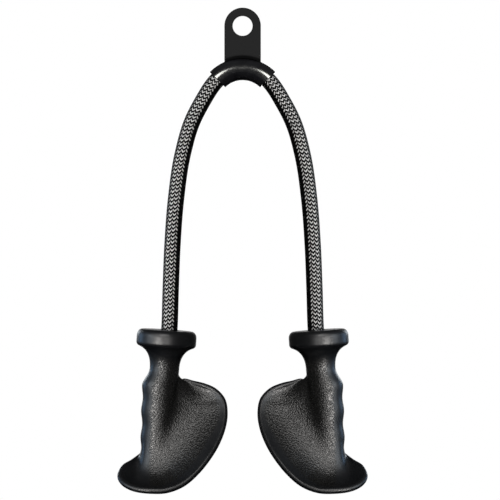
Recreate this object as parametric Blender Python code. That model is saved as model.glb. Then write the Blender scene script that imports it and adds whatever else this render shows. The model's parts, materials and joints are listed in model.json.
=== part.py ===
# Triceps rope attachment: a hanger with a bent guide tube, one braided rope and two moulded handles.
# Metres, +Z up. The origin is the centre of the hang eye and the front of the object faces -Y.
import math

import bpy
import numpy as np
from mathutils import Matrix, Vector

MM = 0.001

# Clearances
SEAT_GAP = 0.3 * MM
ROPE_PLAY = 0.3 * MM

# Rope
ROPE_DIAMETER = 16.2 * MM

# Guide tube, bent to an arc over the rope
TUBE_WALL = 2.7 * MM
TUBE_BEND_RADIUS = 35.4 * MM
TUBE_HALF_ANGLE = math.radians(45.8)
TUBE_EDGE = 0.5 * MM

# Hanger plate and the weld at its foot
EYE_DIAMETER = 19.9 * MM
PLATE_WIDTH = 36.4 * MM
PLATE_THICKNESS = 5.0 * MM
PLATE_EDGE = 0.7 * MM
EYE_TO_TUBE = 43.2 * MM
WELD_LEG = 3.0 * MM
WELD_HOLLOW_SHARE = 0.35
WELD_SEAT_SHARES = (0.67, 0.33)
PLATE_SIDE_SHARES = (0.5, 0.25)
ROUND_SHARE = 0.3

# Handle: flange, neck and grip
HANDLE_TILT = math.radians(3.9)
FLANGE_RADIUS = 29.9 * MM
FLANGE_HEIGHT = 17.2 * MM
FLANGE_TOP_EDGE = 5.4 * MM
FLANGE_TOP_DROP = 6.4 * MM
FLANGE_LOWER_EDGE = 4.2 * MM
FLANGE_LOWER_TURN = math.radians(75)
BORE_OFFSET = 2.2 * MM
NECK_RADIUS = 14.75 * MM
NECK_DEPTH = 38.5 * MM
GRIP_OUTER = 23.5 * MM
GRIP_OUTER_TAPER = 2.2 * MM
GRIP_INNER = 12.2 * MM
GRIP_HALF_DEPTH = 16.4 * MM
GRIP_SWELL_DEPTH = 56.0 * MM
GROOVE_PITCH = 26.0 * MM
GROOVE_DEPTH = 1.4 * MM
HANDLE_LENGTH = 143.0 * MM

# Handle: palm wing
WING_REACH = 64.0 * MM
WING_FORWARD = 52.0 * MM
WING_BACK = 6.0 * MM
WING_DROP = 159.0 * MM
WING_DISH = 11.0 * MM
LIP_THICKNESS = 6.4 * MM

# How the handle's surfaces run between those sizes
FLANGE_FACE_SHARE = 0.62
COVE_REACH_SHARE = 0.55
COVE_DROP_SHARE = 0.15
COVE_RISE_SHARE = 0.5
WING_DIP_SHARE = 0.42
LEANING_DIP_SHARE = 0.30
WING_CURL_SHARE = 0.33
UNDERSIDE_SHARE = 0.35
UNDERSIDE_DISH_SHARE = 0.5
ROOT_SHARE = 0.16
ROOT_RISE_SHARE = 0.05
BACK_LEAVE_SHARE = 0.03
GRIP_ROWS_POWER = 0.9
FINGER_POWER = 0.7

# Inside the handle
CORE_WALL = 1.3 * MM
ENTRY_LIP = 3.0 * MM
WASHER_RADIUS = 11.8 * MM
WASHER_THICKNESS = 2.0 * MM
FERRULE_WALL = 2.8 * MM
FERRULE_LENGTH = 14.0 * MM
FERRULE_FLOOR = 2.5 * MM
PLUG_THICKNESS = 4.0 * MM
PLUG_EDGE = 0.8 * MM
END_CLEARANCE = 1.4 * MM
BASE_RIM = 1.4 * MM

# Lengths of rope that flex at the tube's mouth, just below that and above the handle
UPPER_STRETCH = 48.0 * MM
SWAY_STRETCH = 48.0 * MM
LOWER_STRETCH = 48.0 * MM
SQUARE_END = 1.0 * MM

# The left arm's centreline, from the tube's mouth to the handle
ROPE_ROUTE = [
    (-41.1 * MM, -77.2 * MM),
    (-50.3 * MM, -95.4 * MM),
    (-59.6 * MM, -126.9 * MM),
    (-66.7 * MM, -174.0 * MM),
    (-70.1 * MM, -218.6 * MM),
    (-71.9 * MM, -263.3 * MM),
    (-73.3 * MM, -304.2 * MM),
]

# Facets
TUBE_SIDES = 24
TUBE_STEPS = 16
PLATE_COLUMNS = 64
HANDLE_COLUMNS = 44
HANDLE_ROWS = {"edge": 2, "side": 3, "cove": 3, "grip": 8, "wing": 8, "lip": 4, "under": 8}
ROUND_SIDES = 28
ROPE_ROUNDING = 2
SPAN_STEPS = 30

# Worked out from the sizes above
ROPE_RADIUS = ROPE_DIAMETER / 2
TUBE_BORE = ROPE_RADIUS + ROPE_PLAY
TUBE_RADIUS = TUBE_BORE + TUBE_WALL
ARC_DROP = EYE_TO_TUBE + TUBE_BEND_RADIUS
SADDLE_RADIUS = TUBE_BEND_RADIUS + TUBE_RADIUS + SEAT_GAP
CORE_BORE = ROPE_RADIUS + ROPE_PLAY
CORE_RADIUS = CORE_BORE + CORE_WALL
HANDLE_BORE = CORE_RADIUS + SEAT_GAP
POCKET_RADIUS = WASHER_RADIUS + 2 * SEAT_GAP
HANDLE_TOP = Vector((ROPE_ROUTE[-1][0], 0, ROPE_ROUTE[-1][1]))
# Depth at which the handle rests on the washer, which leaves the ferrule clear of the plug
FERRULE_TOP_DEPTH = HANDLE_LENGTH - PLUG_THICKNESS - END_CLEARANCE - FERRULE_LENGTH
SEAT_DEPTH = FERRULE_TOP_DEPTH - WASHER_THICKNESS - 2 * SEAT_GAP

# The wing's rim, going from the inner back over the inner side, the front and the outer side.
# Each row: angle on the grip in degrees (0 inner, 90 front, 180 outer), share of WING_REACH inward,
# share of WING_FORWARD to the front (or of WING_BACK, where it is negative), share of WING_DROP
# downwards, share of WING_DROP at which the surface leaves the grip, and lean of the surface in
# degrees (0 upright, 90 flat).
RIM_SHARES = [
    (-6, 0.27, -0.91, 0.299, 0.272, 0),
    (3, 0.43, -1.00, 0.308, 0.280, 0),
    (8, 0.62, -0.91, 0.321, 0.290, 2),
    (12, 0.80, -0.45, 0.349, 0.304, 5),
    (16, 0.948, 0.04, 0.408, 0.328, 9),
    (20, 1.00, 0.16, 0.493, 0.360, 14),
    (26, 0.985, 0.31, 0.582, 0.398, 20),
    (35, 0.915, 0.48, 0.675, 0.445, 27),
    (46, 0.80, 0.64, 0.765, 0.495, 35),
    (60, 0.635, 0.78, 0.858, 0.548, 43),
    (77, 0.425, 0.90, 0.938, 0.600, 50),
    (94, 0.17, 0.98, 0.984, 0.635, 55),
    (110, -0.10, 0.99, 0.995, 0.655, 58),
    (127, -0.355, 0.91, 0.990, 0.680, 60),
    (143, -0.545, 0.75, 0.965, 0.705, 60),
    (157, -0.635, 0.54, 0.922, 0.728, 58),
    (168, -0.59, 0.29, 0.868, 0.742, 55),
    (178, -0.455, 0.07, 0.830, 0.745, 50),
    (188, -0.352, -0.60, 0.795, 0.740, 45),
]
# How far the lip stands out from the grip at the rim's two ends
RIM_END_SHARES = [(0, 0.3), (1, 0.8), (18, 0.3), (17, 0.8)]
# Columns behind the grip, where no wing is: angle, and share of WING_DROP where the rim's line passes
BACK_SHARES = [(206, 0.765), (232, 0.70), (262, 0.61), (292, 0.50), (318, 0.40), (338, 0.335)]


def clear_scene():
    for obj in list(bpy.data.objects):
        bpy.data.objects.remove(obj, do_unlink=True)


def make_material(name, color, roughness, metallic):
    material = bpy.data.materials.new(name)
    material.use_nodes = True
    shader = material.node_tree.nodes["Principled BSDF"]
    shader.inputs["Base Color"].default_value = (*color, 1)
    shader.inputs["Roughness"].default_value = roughness
    shader.inputs["Metallic"].default_value = metallic
    return material


def make_object(name, vertices, faces, material, parent=None):
    mesh = bpy.data.meshes.new(name)
    mesh.from_pydata([tuple(v) for v in vertices], [], faces)
    mesh.update()
    mesh.shade_smooth()
    mesh.set_sharp_from_angle(angle=math.radians(35))
    mesh.materials.append(material)
    obj = bpy.data.objects.new(name, mesh)
    bpy.context.scene.collection.objects.link(obj)
    obj.parent = parent
    return obj


def grid_faces(rows, columns, close_rows):
    """Quads over rows of points, each row a closed ring. close_rows joins the last row to the first."""
    faces = []
    for row in range(rows if close_rows else rows - 1):
        below = (row + 1) % rows
        for column in range(columns):
            beside = (column + 1) % columns
            faces.append(
                (
                    row * columns + column,
                    row * columns + beside,
                    below * columns + beside,
                    below * columns + column,
                )
            )
    return faces


def loft(name, rings, material, parent=None, close_rows=True, flip=False):
    """A closed body over rings of equal count. Without close_rows the two end rings are capped."""
    rings = np.asarray(rings)
    rows, columns = rings.shape[:2]
    faces = grid_faces(rows, columns, close_rows)
    if not close_rows:
        faces.append(tuple(reversed(range(columns))))
        faces.append(tuple(range((rows - 1) * columns, rows * columns)))
    if flip:
        faces = [tuple(reversed(face)) for face in faces]
    return make_object(name, rings.reshape(-1, 3), faces, material, parent)


def turned(name, profile, material, parent=None, sides=ROUND_SIDES):
    """A body turned about Z from a profile of (radius, height) points, top to bottom on the outside."""
    angles = [2 * math.pi * side / sides for side in range(sides)]
    rings = [[(r * math.cos(a), r * math.sin(a), z) for a in angles] for r, z in profile]
    return loft(name, rings, material, parent, flip=True)


def axis_empty(name, location, parent=None, tilt=0.0):
    """An empty on a joint's axis. location is in world space, and only the last one in a chain tilts."""
    empty = bpy.data.objects.new(name, None)
    empty.empty_display_size = ROPE_DIAMETER
    bpy.context.scene.collection.objects.link(empty)
    empty.parent = parent
    origin = parent["place"] if parent else (0, 0, 0)
    empty.location = Vector(location) - Vector(origin)
    empty.rotation_euler = (0, tilt, 0)
    empty["place"] = tuple(location)
    return empty


def hold_in_place(obj, parent):
    """Parents an object that is built in world space."""
    obj.parent = parent
    obj.matrix_parent_inverse = Matrix.Translation(-Vector(parent["place"]))


# Guide tube


def arc_point(angle, radius, depth):
    """A point beside the guide arc: angle from its crown, radius from its centre, depth along Y."""
    return (radius * math.sin(angle), depth, radius * math.cos(angle) - ARC_DROP)


def tube_section():
    """Ring rows of the tube's wall as (position along the arc, radius): outside, then back inside."""
    end = TUBE_BEND_RADIUS * TUBE_HALF_ANGLE
    outside = [(-end, TUBE_RADIUS - TUBE_EDGE)]
    inside = [(-end, TUBE_BORE + TUBE_EDGE)]
    steps = [2 * step / TUBE_STEPS - 1 for step in range(TUBE_STEPS + 1)]
    for share in steps:
        outside.append((share * (end - TUBE_EDGE), TUBE_RADIUS))
        inside.append((share * (end - TUBE_EDGE), TUBE_BORE))
    outside.append((end, TUBE_RADIUS - TUBE_EDGE))
    inside.append((end, TUBE_BORE + TUBE_EDGE))
    return outside + inside[::-1]


def build_guide_tube(material):
    rings = []
    for along, radius in tube_section():
        angle = along / TUBE_BEND_RADIUS
        ring = []
        for side in range(TUBE_SIDES):
            turn = 2 * math.pi * side / TUBE_SIDES
            height = TUBE_BEND_RADIUS + radius * math.cos(turn)
            ring.append(arc_point(angle, height, radius * math.sin(turn)))
        rings.append(ring)
    return loft("guide_tube", rings, material, flip=True)


# Hanger plate


def to_arc(angle, radius):
    """Distance from the eye's centre, at an angle from straight down, to a circle round the arc's centre."""
    return ARC_DROP * math.cos(angle) - math.sqrt(radius**2 - (ARC_DROP * math.sin(angle)) ** 2)


def corner_angle():
    """Angle from straight down to the plate's lower corner, where its side meets the saddle."""
    half = PLATE_WIDTH / 2
    return math.atan2(half, ARC_DROP - math.sqrt(SADDLE_RADIUS**2 - half**2))


def plate_reach(angle, corner):
    """Distance from the eye's centre to the plate's edge. angle is 0 straight down, at most pi each way."""
    half = PLATE_WIDTH / 2
    if abs(angle) < corner:
        return to_arc(angle, SADDLE_RADIUS)
    if abs(angle) < math.pi / 2:
        return half / math.sin(abs(angle))
    return half


def plate_angles(corner):
    """Angles of the columns, with one on each lower corner and the rest spread evenly between."""
    below = PLATE_COLUMNS // 4
    above = PLATE_COLUMNS - below
    lower = [corner * (2 * step / below - 1) for step in range(below)]
    right = [corner + (math.pi - corner) * 2 * step / above for step in range(above // 2)]
    left = [2 * (math.pi - corner) * step / above - math.pi for step in range(above // 2)]
    return lower + right + left


def weld_profile():
    """The weld's front half as (radius from the arc's centre, depth) points: head, bend, toe and seat."""
    face = PLATE_THICKNESS / 2
    seat = TUBE_RADIUS + SEAT_GAP
    toe_turn = math.asin((face + WELD_LEG) / seat)
    toe = (TUBE_BEND_RADIUS + seat * math.cos(toe_turn), seat * math.sin(toe_turn))
    head = (TUBE_BEND_RADIUS + TUBE_RADIUS + WELD_LEG, face)
    bend = (
        toe[0] + (head[0] - toe[0]) * WELD_HOLLOW_SHARE,
        face + (toe[1] - face) * WELD_HOLLOW_SHARE,
    )
    points = [head, bend, toe]
    for share in WELD_SEAT_SHARES:
        turn = toe_turn * share
        points.append((TUBE_BEND_RADIUS + seat * math.cos(turn), seat * math.sin(turn)))
    return points


def plate_column(angle, corner):
    """One radial section of the plate from the eye's front edge round the outer edge to the back."""
    direction = Vector((math.sin(angle), 0, -math.cos(angle)))
    face, eye, edge = PLATE_THICKNESS / 2, EYE_DIAMETER / 2, PLATE_EDGE
    reach = plate_reach(angle, corner)
    half = [(eye, face - edge), (eye + edge, face)]
    if abs(angle) < corner:
        half += [(to_arc(angle, radius), depth) for radius, depth in weld_profile()]
    else:
        half += [(reach - edge, face), (reach - edge * ROUND_SHARE, face - edge * ROUND_SHARE)]
        half += [(reach, face - edge)]
        half += [(reach, face * share) for share in PLATE_SIDE_SHARES]
    section = [(r, -d) for r, d in half] + [(reach, 0)] + [(r, d) for r, d in reversed(half)]
    return [direction * r + Vector((0, d, 0)) for r, d in section]


def build_hanger_plate(material):
    corner = corner_angle()
    columns = [plate_column(angle, corner) for angle in plate_angles(corner)]
    rings = [[tuple(column[row]) for column in columns] for row in range(len(columns[0]))]
    return loft("hanger_plate", rings, material, flip=True)


# Rope


def tangents(points, first, last):
    """Unit-speed tangents of a smooth curve through the points, with given ones at its two ends."""
    found = [first]
    for before, here, after in zip(points, points[1:], points[2:]):
        came, goes = here - before, after - here
        share = came.length / (came.length + goes.length)
        found.append(came / came.length * (1 - share) + goes / goes.length * share)
    return [*found, last]


def arm_route():
    """Points along the left arm's free rope, from the tube's mouth to the handle's top."""
    half = TUBE_HALF_ANGLE
    out = Vector((-math.cos(half), 0, -math.sin(half)))
    into = Vector((-math.sin(HANDLE_TILT), 0, -math.cos(HANDLE_TILT)))
    knots = [Vector(arc_point(-half, TUBE_BEND_RADIUS, 0))]
    knots += [Vector((x, 0, z)) for x, z in ROPE_ROUTE]
    headings = tangents(knots, out, into)
    points = [knots[0]]
    for start, end, leaves, arrives in zip(knots, knots[1:], headings, headings[1:]):
        chord = (end - start).length
        for step in range(1, SPAN_STEPS + 1):
            t = step / SPAN_STEPS
            points.append(
                start * (2 * t**3 - 3 * t**2 + 1)
                + end * (3 * t**2 - 2 * t**3)
                + leaves * chord * (t**3 - 2 * t**2 + t)
                + arrives * chord * (t**3 - t**2)
            )
    return points


def lengths_along(points):
    lengths = [0.0]
    for first, second in zip(points, points[1:]):
        lengths.append(lengths[-1] + (second - first).length)
    return lengths


def at_length(points, lengths, wanted):
    """The point at a length along a polyline."""
    for index in range(1, len(lengths)):
        if wanted <= lengths[index] or index == len(lengths) - 1:
            span = lengths[index] - lengths[index - 1]
            return points[index - 1].lerp(points[index], (wanted - lengths[index - 1]) / span)


def square_ended(start, end, step):
    """Places from start to end, about a step apart, with a short square run at each end."""
    count = max(2, round((end - start) / step))
    between = [start + (end - start) * i / count for i in range(1, count)]
    return [start, start + SQUARE_END, *between, end - SQUARE_END, end]


def stretch_points(points, lengths, start, end, step):
    return [at_length(points, lengths, place) for place in square_ended(start, end, step)]


def mirrored(points, side):
    """side is 1 for the left arm, as it is listed, and -1 for the right one."""
    return [Vector((point.x * side, point.y, point.z)) for point in points]


def rope_piece(name, points, material, parent=None):
    curve = bpy.data.curves.new(name, "CURVE")
    curve.dimensions = "3D"
    curve.bevel_depth = ROPE_RADIUS
    curve.bevel_resolution = ROPE_ROUNDING
    curve.use_fill_caps = True
    spline = curve.splines.new("POLY")
    spline.points.add(len(points) - 1)
    for target, point in zip(spline.points, points):
        target.co = (*point, 1)
    curve.materials.append(material)
    obj = bpy.data.objects.new(name, curve)
    bpy.context.scene.collection.objects.link(obj)
    if parent:
        hold_in_place(obj, parent)
    return obj


def build_rope_crown(material):
    end = TUBE_BEND_RADIUS * TUBE_HALF_ANGLE - SEAT_GAP / 2
    places = square_ended(-end, end, 2 * end / TUBE_STEPS)
    points = [Vector(arc_point(place / TUBE_BEND_RADIUS, TUBE_BEND_RADIUS, 0)) for place in places]
    return rope_piece("rope_crown", points, material)


# Handle surface, in the handle's own frame: X inward, Y back, Z up the bore's axis, top of flange at 0


def smooth(share):
    share = min(max(share, 0.0), 1.0)
    return share * share * (3 - 2 * share)


def grip_point(angle, depth):
    """A point on the neck or grip. angle is 0 inward and 90 degrees to the front, depth is downwards."""
    swell = smooth((depth - NECK_DEPTH) / (GRIP_SWELL_DEPTH - NECK_DEPTH))
    neck_inner = NECK_RADIUS - BORE_OFFSET
    neck_outer = NECK_RADIUS + BORE_OFFSET
    inner = neck_inner + (GRIP_INNER - neck_inner) * swell
    outer = neck_outer + (GRIP_OUTER - neck_outer) * swell
    half_depth = NECK_RADIUS + (GRIP_HALF_DEPTH - NECK_RADIUS) * swell
    waves = (1 - math.cos(2 * math.pi * (depth - GRIP_SWELL_DEPTH) / GROOVE_PITCH)) / 2
    fingers = max(0.0, -math.cos(angle)) ** FINGER_POWER
    outer -= GROOVE_DEPTH * waves * swell * fingers
    outer -= GRIP_OUTER_TAPER * smooth((depth - GRIP_SWELL_DEPTH) / (SEAT_DEPTH - GRIP_SWELL_DEPTH))
    middle, half_width = (inner - outer) / 2, (inner + outer) / 2
    return np.array((middle + half_width * math.cos(angle), -half_depth * math.sin(angle), -depth))


def rim_stations():
    """Angle, rim point, leaving depth, lean, and how far the wing stands out, for each station."""
    ends = dict(RIM_END_SHARES)
    rows = []
    for index, (angle, inward, forward, down, leave, lean) in enumerate(RIM_SHARES):
        ahead = forward * (WING_FORWARD if forward > 0 else WING_BACK)
        point = (inward * WING_REACH, -ahead, -down * WING_DROP)
        stand = ends.get(index, 1)
        rows.append((math.radians(angle), *point, leave * WING_DROP, math.radians(lean), stand))
    for angle, down in BACK_SHARES:
        point = grip_point(math.radians(angle), down * WING_DROP)
        leave = (down - BACK_LEAVE_SHARE) * WING_DROP
        rows.append((math.radians(angle), *point, leave, 0, 0))
    return np.array(rows)


def closed_spline(values, position):
    """Value and slope of a closed Catmull-Rom curve through the rows; column 0 is the angle."""
    count = len(values)
    base = int(math.floor(position))
    share = position - base
    rows = []
    for step in (-1, 0, 1, 2):
        row = values[(base + step) % count].copy()
        row[0] += 2 * math.pi * ((base + step) // count)
        rows.append(row)
    a, b, c, d = rows
    first, second, third = (c - a) / 2, (2 * a - 5 * b + 4 * c - d) / 2, (3 * (b - c) + d - a) / 2
    value = b + share * (first + share * (second + share * third))
    slope = first + share * (2 * second + share * 3 * third)
    return value, slope


def bezier(points, share):
    a, b, c, d = points
    rest = 1 - share
    return rest**3 * a + 3 * rest**2 * share * b + 3 * rest * share**2 * c + share**3 * d


def unit(vector):
    return vector / np.linalg.norm(vector)


def flange_profile(rows):
    """The flange from its top face to the start of the cove, as (radius, depth) round its own centre."""
    points = [(FLANGE_RADIUS * FLANGE_FACE_SHARE, 0)]
    for step in range(rows["edge"] + 1):
        turn = math.pi / 2 * step / rows["edge"]
        points.append(
            (
                FLANGE_RADIUS - FLANGE_TOP_EDGE * (1 - math.sin(turn)),
                FLANGE_TOP_DROP * (1 - math.cos(turn)),
            )
        )
    for step in range(rows["side"] + 1):
        turn = FLANGE_LOWER_TURN * step / rows["side"]
        points.append(
            (
                FLANGE_RADIUS - FLANGE_LOWER_EDGE * (1 - math.cos(turn)),
                FLANGE_HEIGHT - FLANGE_LOWER_EDGE * (1 - math.sin(turn)),
            )
        )
    return points


def cove_points(start, count):
    """The cove from the flange's lower edge to the neck, as (radius, depth)."""
    start = np.array(start)
    end = np.array((NECK_RADIUS, NECK_DEPTH))
    drop = NECK_DEPTH - FLANGE_HEIGHT
    reach = FLANGE_RADIUS - NECK_RADIUS
    inward = np.array((-reach * COVE_REACH_SHARE, drop * COVE_DROP_SHARE))
    control = (start, start + inward, end - np.array((0, drop * COVE_RISE_SHARE)), end)
    return [tuple(bezier(control, (step + 1) / (count + 1))) for step in range(count)]


def handle_column(row, slope, rows):
    """One column of the handle's skin, from the flange's top to the plug's seat."""
    angle, rim, leave, lean, stand = row[0], row[1:4], row[4], row[5], min(max(row[6], 0), 1)
    points = []
    flange = flange_profile(rows)
    for radius, depth in flange + cove_points(flange[-1], rows["cove"]):
        points.append(
            np.array((radius * math.cos(angle) - BORE_OFFSET, -radius * math.sin(angle), -depth))
        )
    for step in range(rows["grip"]):
        share = (step / rows["grip"]) ** GRIP_ROWS_POWER
        points.append(grip_point(angle, NECK_DEPTH + (leave - NECK_DEPTH) * share))

    behind = np.array((0, math.cos(lean), -math.sin(lean)))
    along = unit(slope[1:4])
    outward = unit(np.cross(along, behind))
    behind = unit(np.cross(outward, along))
    lip = LIP_THICKNESS / 2 * stand
    centre = rim - outward * lip
    start = grip_point(angle, leave)
    top = centre - behind * lip
    chord = np.linalg.norm(top - start)
    dip = chord * (WING_DIP_SHARE + LEANING_DIP_SHARE * math.sin(lean))
    dish = WING_DISH * chord / WING_REACH
    surface = (
        start,
        start + np.array((0, 0, -dip)),
        top - stand * (outward * chord * WING_CURL_SHARE - behind * dish),
        top,
    )
    for step in range(rows["wing"]):
        points.append(bezier(surface, step / rows["wing"]))
    for step in range(rows["lip"] + 1):
        turn = math.pi * step / rows["lip"]
        points.append(centre + lip * (math.sin(turn) * outward - math.cos(turn) * behind))

    under = centre + behind * lip
    foot_radius = POCKET_RADIUS + BASE_RIM
    radial = np.array((math.cos(angle), -math.sin(angle), 0))
    foot = radial * foot_radius + np.array((0, 0, -HANDLE_LENGTH))
    gap = np.linalg.norm(under - foot)
    hollow = WING_DISH * UNDERSIDE_DISH_SHARE
    below = under + stand * (behind * hollow - outward * gap * UNDERSIDE_SHARE)
    below[2] -= gap * UNDERSIDE_SHARE * (1 - stand)
    corner = foot + radial * (BASE_RIM + gap * ROOT_SHARE * stand)
    corner[2] += gap * ROOT_RISE_SHARE * stand
    underside = (under, below, corner, foot)
    for step in range(rows["under"]):
        points.append(bezier(underside, (step + 1) / rows["under"]))
    return points


def handle_bore(angle):
    """One column of the handle's inner wall, from the plug's seat up to the rope's entry."""
    entry = CORE_BORE + SEAT_GAP
    profile = [
        (POCKET_RADIUS, HANDLE_LENGTH),
        (POCKET_RADIUS, SEAT_DEPTH),
        (HANDLE_BORE, SEAT_DEPTH),
        (HANDLE_BORE, ENTRY_LIP),
        (entry, ENTRY_LIP),
        (entry, 0),
    ]
    return [np.array((r * math.cos(angle), -r * math.sin(angle), -z)) for r, z in profile]


def build_handle(name, side, material, parent):
    stations = rim_stations()
    lines = []
    for column in range(HANDLE_COLUMNS):
        row, slope = closed_spline(stations, column * len(stations) / HANDLE_COLUMNS)
        lines.append(handle_column(row, slope, HANDLE_ROWS) + handle_bore(row[0]))
    rings = np.array(lines).transpose(1, 0, 2)
    rings[:, :, 0] *= side
    return loft(name, rings, material, parent, flip=side < 0)


# Pieces inside the handle


def build_core_tube(name, material, parent):
    top, bottom = -ENTRY_LIP - SEAT_GAP, -SEAT_DEPTH
    profile = [(CORE_RADIUS, top), (CORE_RADIUS, bottom), (CORE_BORE, bottom), (CORE_BORE, top)]
    return turned(name, profile, material, parent)


def build_washer(name, material, parent):
    top = -SEAT_DEPTH - SEAT_GAP
    bottom = top - WASHER_THICKNESS
    profile = [(WASHER_RADIUS, top), (WASHER_RADIUS, bottom), (CORE_BORE, bottom), (CORE_BORE, top)]
    return turned(name, profile, material, parent)


def ferrule_top():
    return -SEAT_DEPTH - 2 * SEAT_GAP - WASHER_THICKNESS


def build_ferrule(name, material, parent):
    """A cup crimped on the rope's end: open at the top, with a floor."""
    top = ferrule_top()
    bottom = top - FERRULE_LENGTH
    floor = bottom + FERRULE_FLOOR
    outer = CORE_BORE + FERRULE_WALL
    profile = [(CORE_BORE, floor), (CORE_BORE, top), (outer, top), (outer, bottom)]
    angles = [2 * math.pi * turn / ROUND_SIDES for turn in range(ROUND_SIDES)]
    rings = [[(r * math.cos(a), r * math.sin(a), z) for a in angles] for r, z in profile]
    return loft(name, rings, material, parent, close_rows=False, flip=True)


def build_plug(name, material, parent):
    """A disc with a rounded lower edge that closes the pocket."""
    radius = POCKET_RADIUS - SEAT_GAP
    bottom = -HANDLE_LENGTH
    profile = [
        (radius, bottom + PLUG_THICKNESS),
        (radius, bottom + PLUG_EDGE),
        (radius - PLUG_EDGE, bottom),
    ]
    angles = [2 * math.pi * turn / ROUND_SIDES for turn in range(ROUND_SIDES)]
    rings = [[(r * math.cos(a), r * math.sin(a), z) for a in angles] for r, z in profile]
    return loft(name, rings, material, parent, close_rows=False, flip=True)


def build_arm(side, label, materials):
    """The rope arm and handle of one side, from the tube's mouth down."""
    points = arm_route()
    lengths = lengths_along(points)
    total = lengths[-1]
    half_gap = SEAT_GAP / 2
    lower_start = total - LOWER_STRETCH
    spread_at = at_length(points, lengths, UPPER_STRETCH / 2)
    sway_at = at_length(points, lengths, UPPER_STRETCH + SWAY_STRETCH / 2)
    tilt_at = at_length(points, lengths, total - LOWER_STRETCH / 2)
    spread_at, sway_at, tilt_at = mirrored([spread_at, sway_at, tilt_at], side)
    top = mirrored([HANDLE_TOP], side)[0]
    spread = axis_empty(f"spread_{label}", spread_at)
    sway = axis_empty(f"sway_{label}", sway_at, spread)
    tilt = axis_empty(f"tilt_{label}", tilt_at, sway)
    tail = axis_empty(f"tail_{label}", top, tilt, HANDLE_TILT * side)
    swivel = axis_empty(f"swivel_{label}", top, tilt, HANDLE_TILT * side)
    print(f"{label} arm: free rope {total / MM:.1f} mm")
    for name, where in (("spread", spread_at), ("sway", sway_at), ("tilt", tilt_at), ("handle top", top)):
        print(f"{label} {name} at", tuple(round(value, 5) for value in where))

    stretches = [
        ("upper", half_gap, UPPER_STRETCH - half_gap, ROPE_DIAMETER / 2, spread),
        ("middle", UPPER_STRETCH + half_gap, lower_start - half_gap, ROPE_DIAMETER, sway),
        ("lower", lower_start + half_gap, total - half_gap, ROPE_DIAMETER / 2, tilt),
    ]
    for piece, start, end, step, parent in stretches:
        route = mirrored(stretch_points(points, lengths, start, end, step), side)
        rope_piece(f"rope_{piece}_{label}", route, materials["rope"], parent)
    tail_end = ferrule_top() - FERRULE_LENGTH + FERRULE_FLOOR + SEAT_GAP
    tail_rope = rope_piece(
        f"rope_tail_{label}", [Vector((0, 0, -half_gap)), Vector((0, 0, tail_end))], materials["rope"]
    )
    tail_rope.parent = tail
    build_washer(f"thrust_washer_{label}", materials["steel"], tail)
    build_ferrule(f"end_ferrule_{label}", materials["aluminium"], tail)
    build_handle(f"handle_{label}", side, materials["grip"], swivel)
    build_core_tube(f"core_tube_{label}", materials["steel"], swivel)
    build_plug(f"end_plug_{label}", materials["plug"], swivel)


def main():
    clear_scene()
    materials = {
        "paint": make_material("black_paint", (0.02, 0.02, 0.022), 0.42, 0.0),
        "rope": make_material("braided_rope", (0.16, 0.16, 0.16), 0.75, 0.0),
        "grip": make_material("moulded_grip", (0.018, 0.018, 0.02), 0.5, 0.0),
        "steel": make_material("zinc_steel", (0.55, 0.56, 0.58), 0.35, 1.0),
        "aluminium": make_material("aluminium", (0.75, 0.75, 0.76), 0.35, 1.0),
        "plug": make_material("plug_plastic", (0.02, 0.02, 0.02), 0.55, 0.0),
    }
    build_hanger_plate(materials["paint"])
    build_guide_tube(materials["paint"])
    build_rope_crown(materials["rope"])
    build_arm(1, "left", materials)
    build_arm(-1, "right", materials)


main()
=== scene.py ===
# Looks of the triceps rope attachment: painted bracket, braided rope and moulded handles.
import json
import math
from collections import namedtuple

import bpy
import numpy as np
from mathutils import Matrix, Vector

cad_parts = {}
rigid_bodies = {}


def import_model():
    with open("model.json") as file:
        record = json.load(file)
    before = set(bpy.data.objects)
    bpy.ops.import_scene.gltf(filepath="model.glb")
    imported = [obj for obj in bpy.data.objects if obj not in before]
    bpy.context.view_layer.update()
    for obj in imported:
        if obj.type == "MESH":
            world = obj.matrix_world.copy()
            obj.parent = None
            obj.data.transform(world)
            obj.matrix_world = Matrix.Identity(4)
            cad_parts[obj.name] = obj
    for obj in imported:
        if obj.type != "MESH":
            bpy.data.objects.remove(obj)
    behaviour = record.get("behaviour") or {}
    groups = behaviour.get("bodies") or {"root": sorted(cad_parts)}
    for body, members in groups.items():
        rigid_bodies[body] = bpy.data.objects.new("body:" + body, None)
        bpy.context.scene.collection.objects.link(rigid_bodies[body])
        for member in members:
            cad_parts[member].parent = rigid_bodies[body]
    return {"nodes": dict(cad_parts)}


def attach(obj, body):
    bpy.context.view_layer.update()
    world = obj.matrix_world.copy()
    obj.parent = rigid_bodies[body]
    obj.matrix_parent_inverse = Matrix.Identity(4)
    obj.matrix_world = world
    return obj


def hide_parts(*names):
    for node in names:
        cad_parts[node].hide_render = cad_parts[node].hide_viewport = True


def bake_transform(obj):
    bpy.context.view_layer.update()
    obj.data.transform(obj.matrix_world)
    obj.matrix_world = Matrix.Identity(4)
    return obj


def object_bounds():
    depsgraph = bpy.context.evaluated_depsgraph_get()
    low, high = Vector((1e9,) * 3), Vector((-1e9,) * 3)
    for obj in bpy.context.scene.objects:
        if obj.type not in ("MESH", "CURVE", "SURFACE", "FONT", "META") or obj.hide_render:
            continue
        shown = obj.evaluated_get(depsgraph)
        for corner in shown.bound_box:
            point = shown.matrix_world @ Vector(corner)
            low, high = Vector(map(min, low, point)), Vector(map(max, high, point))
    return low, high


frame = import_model()
cad_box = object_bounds()

MM = 0.001
SIDES = (("left", 1), ("right", -1))

# Camera and the photograph's frame
FRAME_PIXELS = 500
PIXEL = 1.0 * MM
EYE_PIXEL = (242.6, 26.0)
CAMERA_DISTANCE = 2500 * MM
SENSOR = 36

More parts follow.
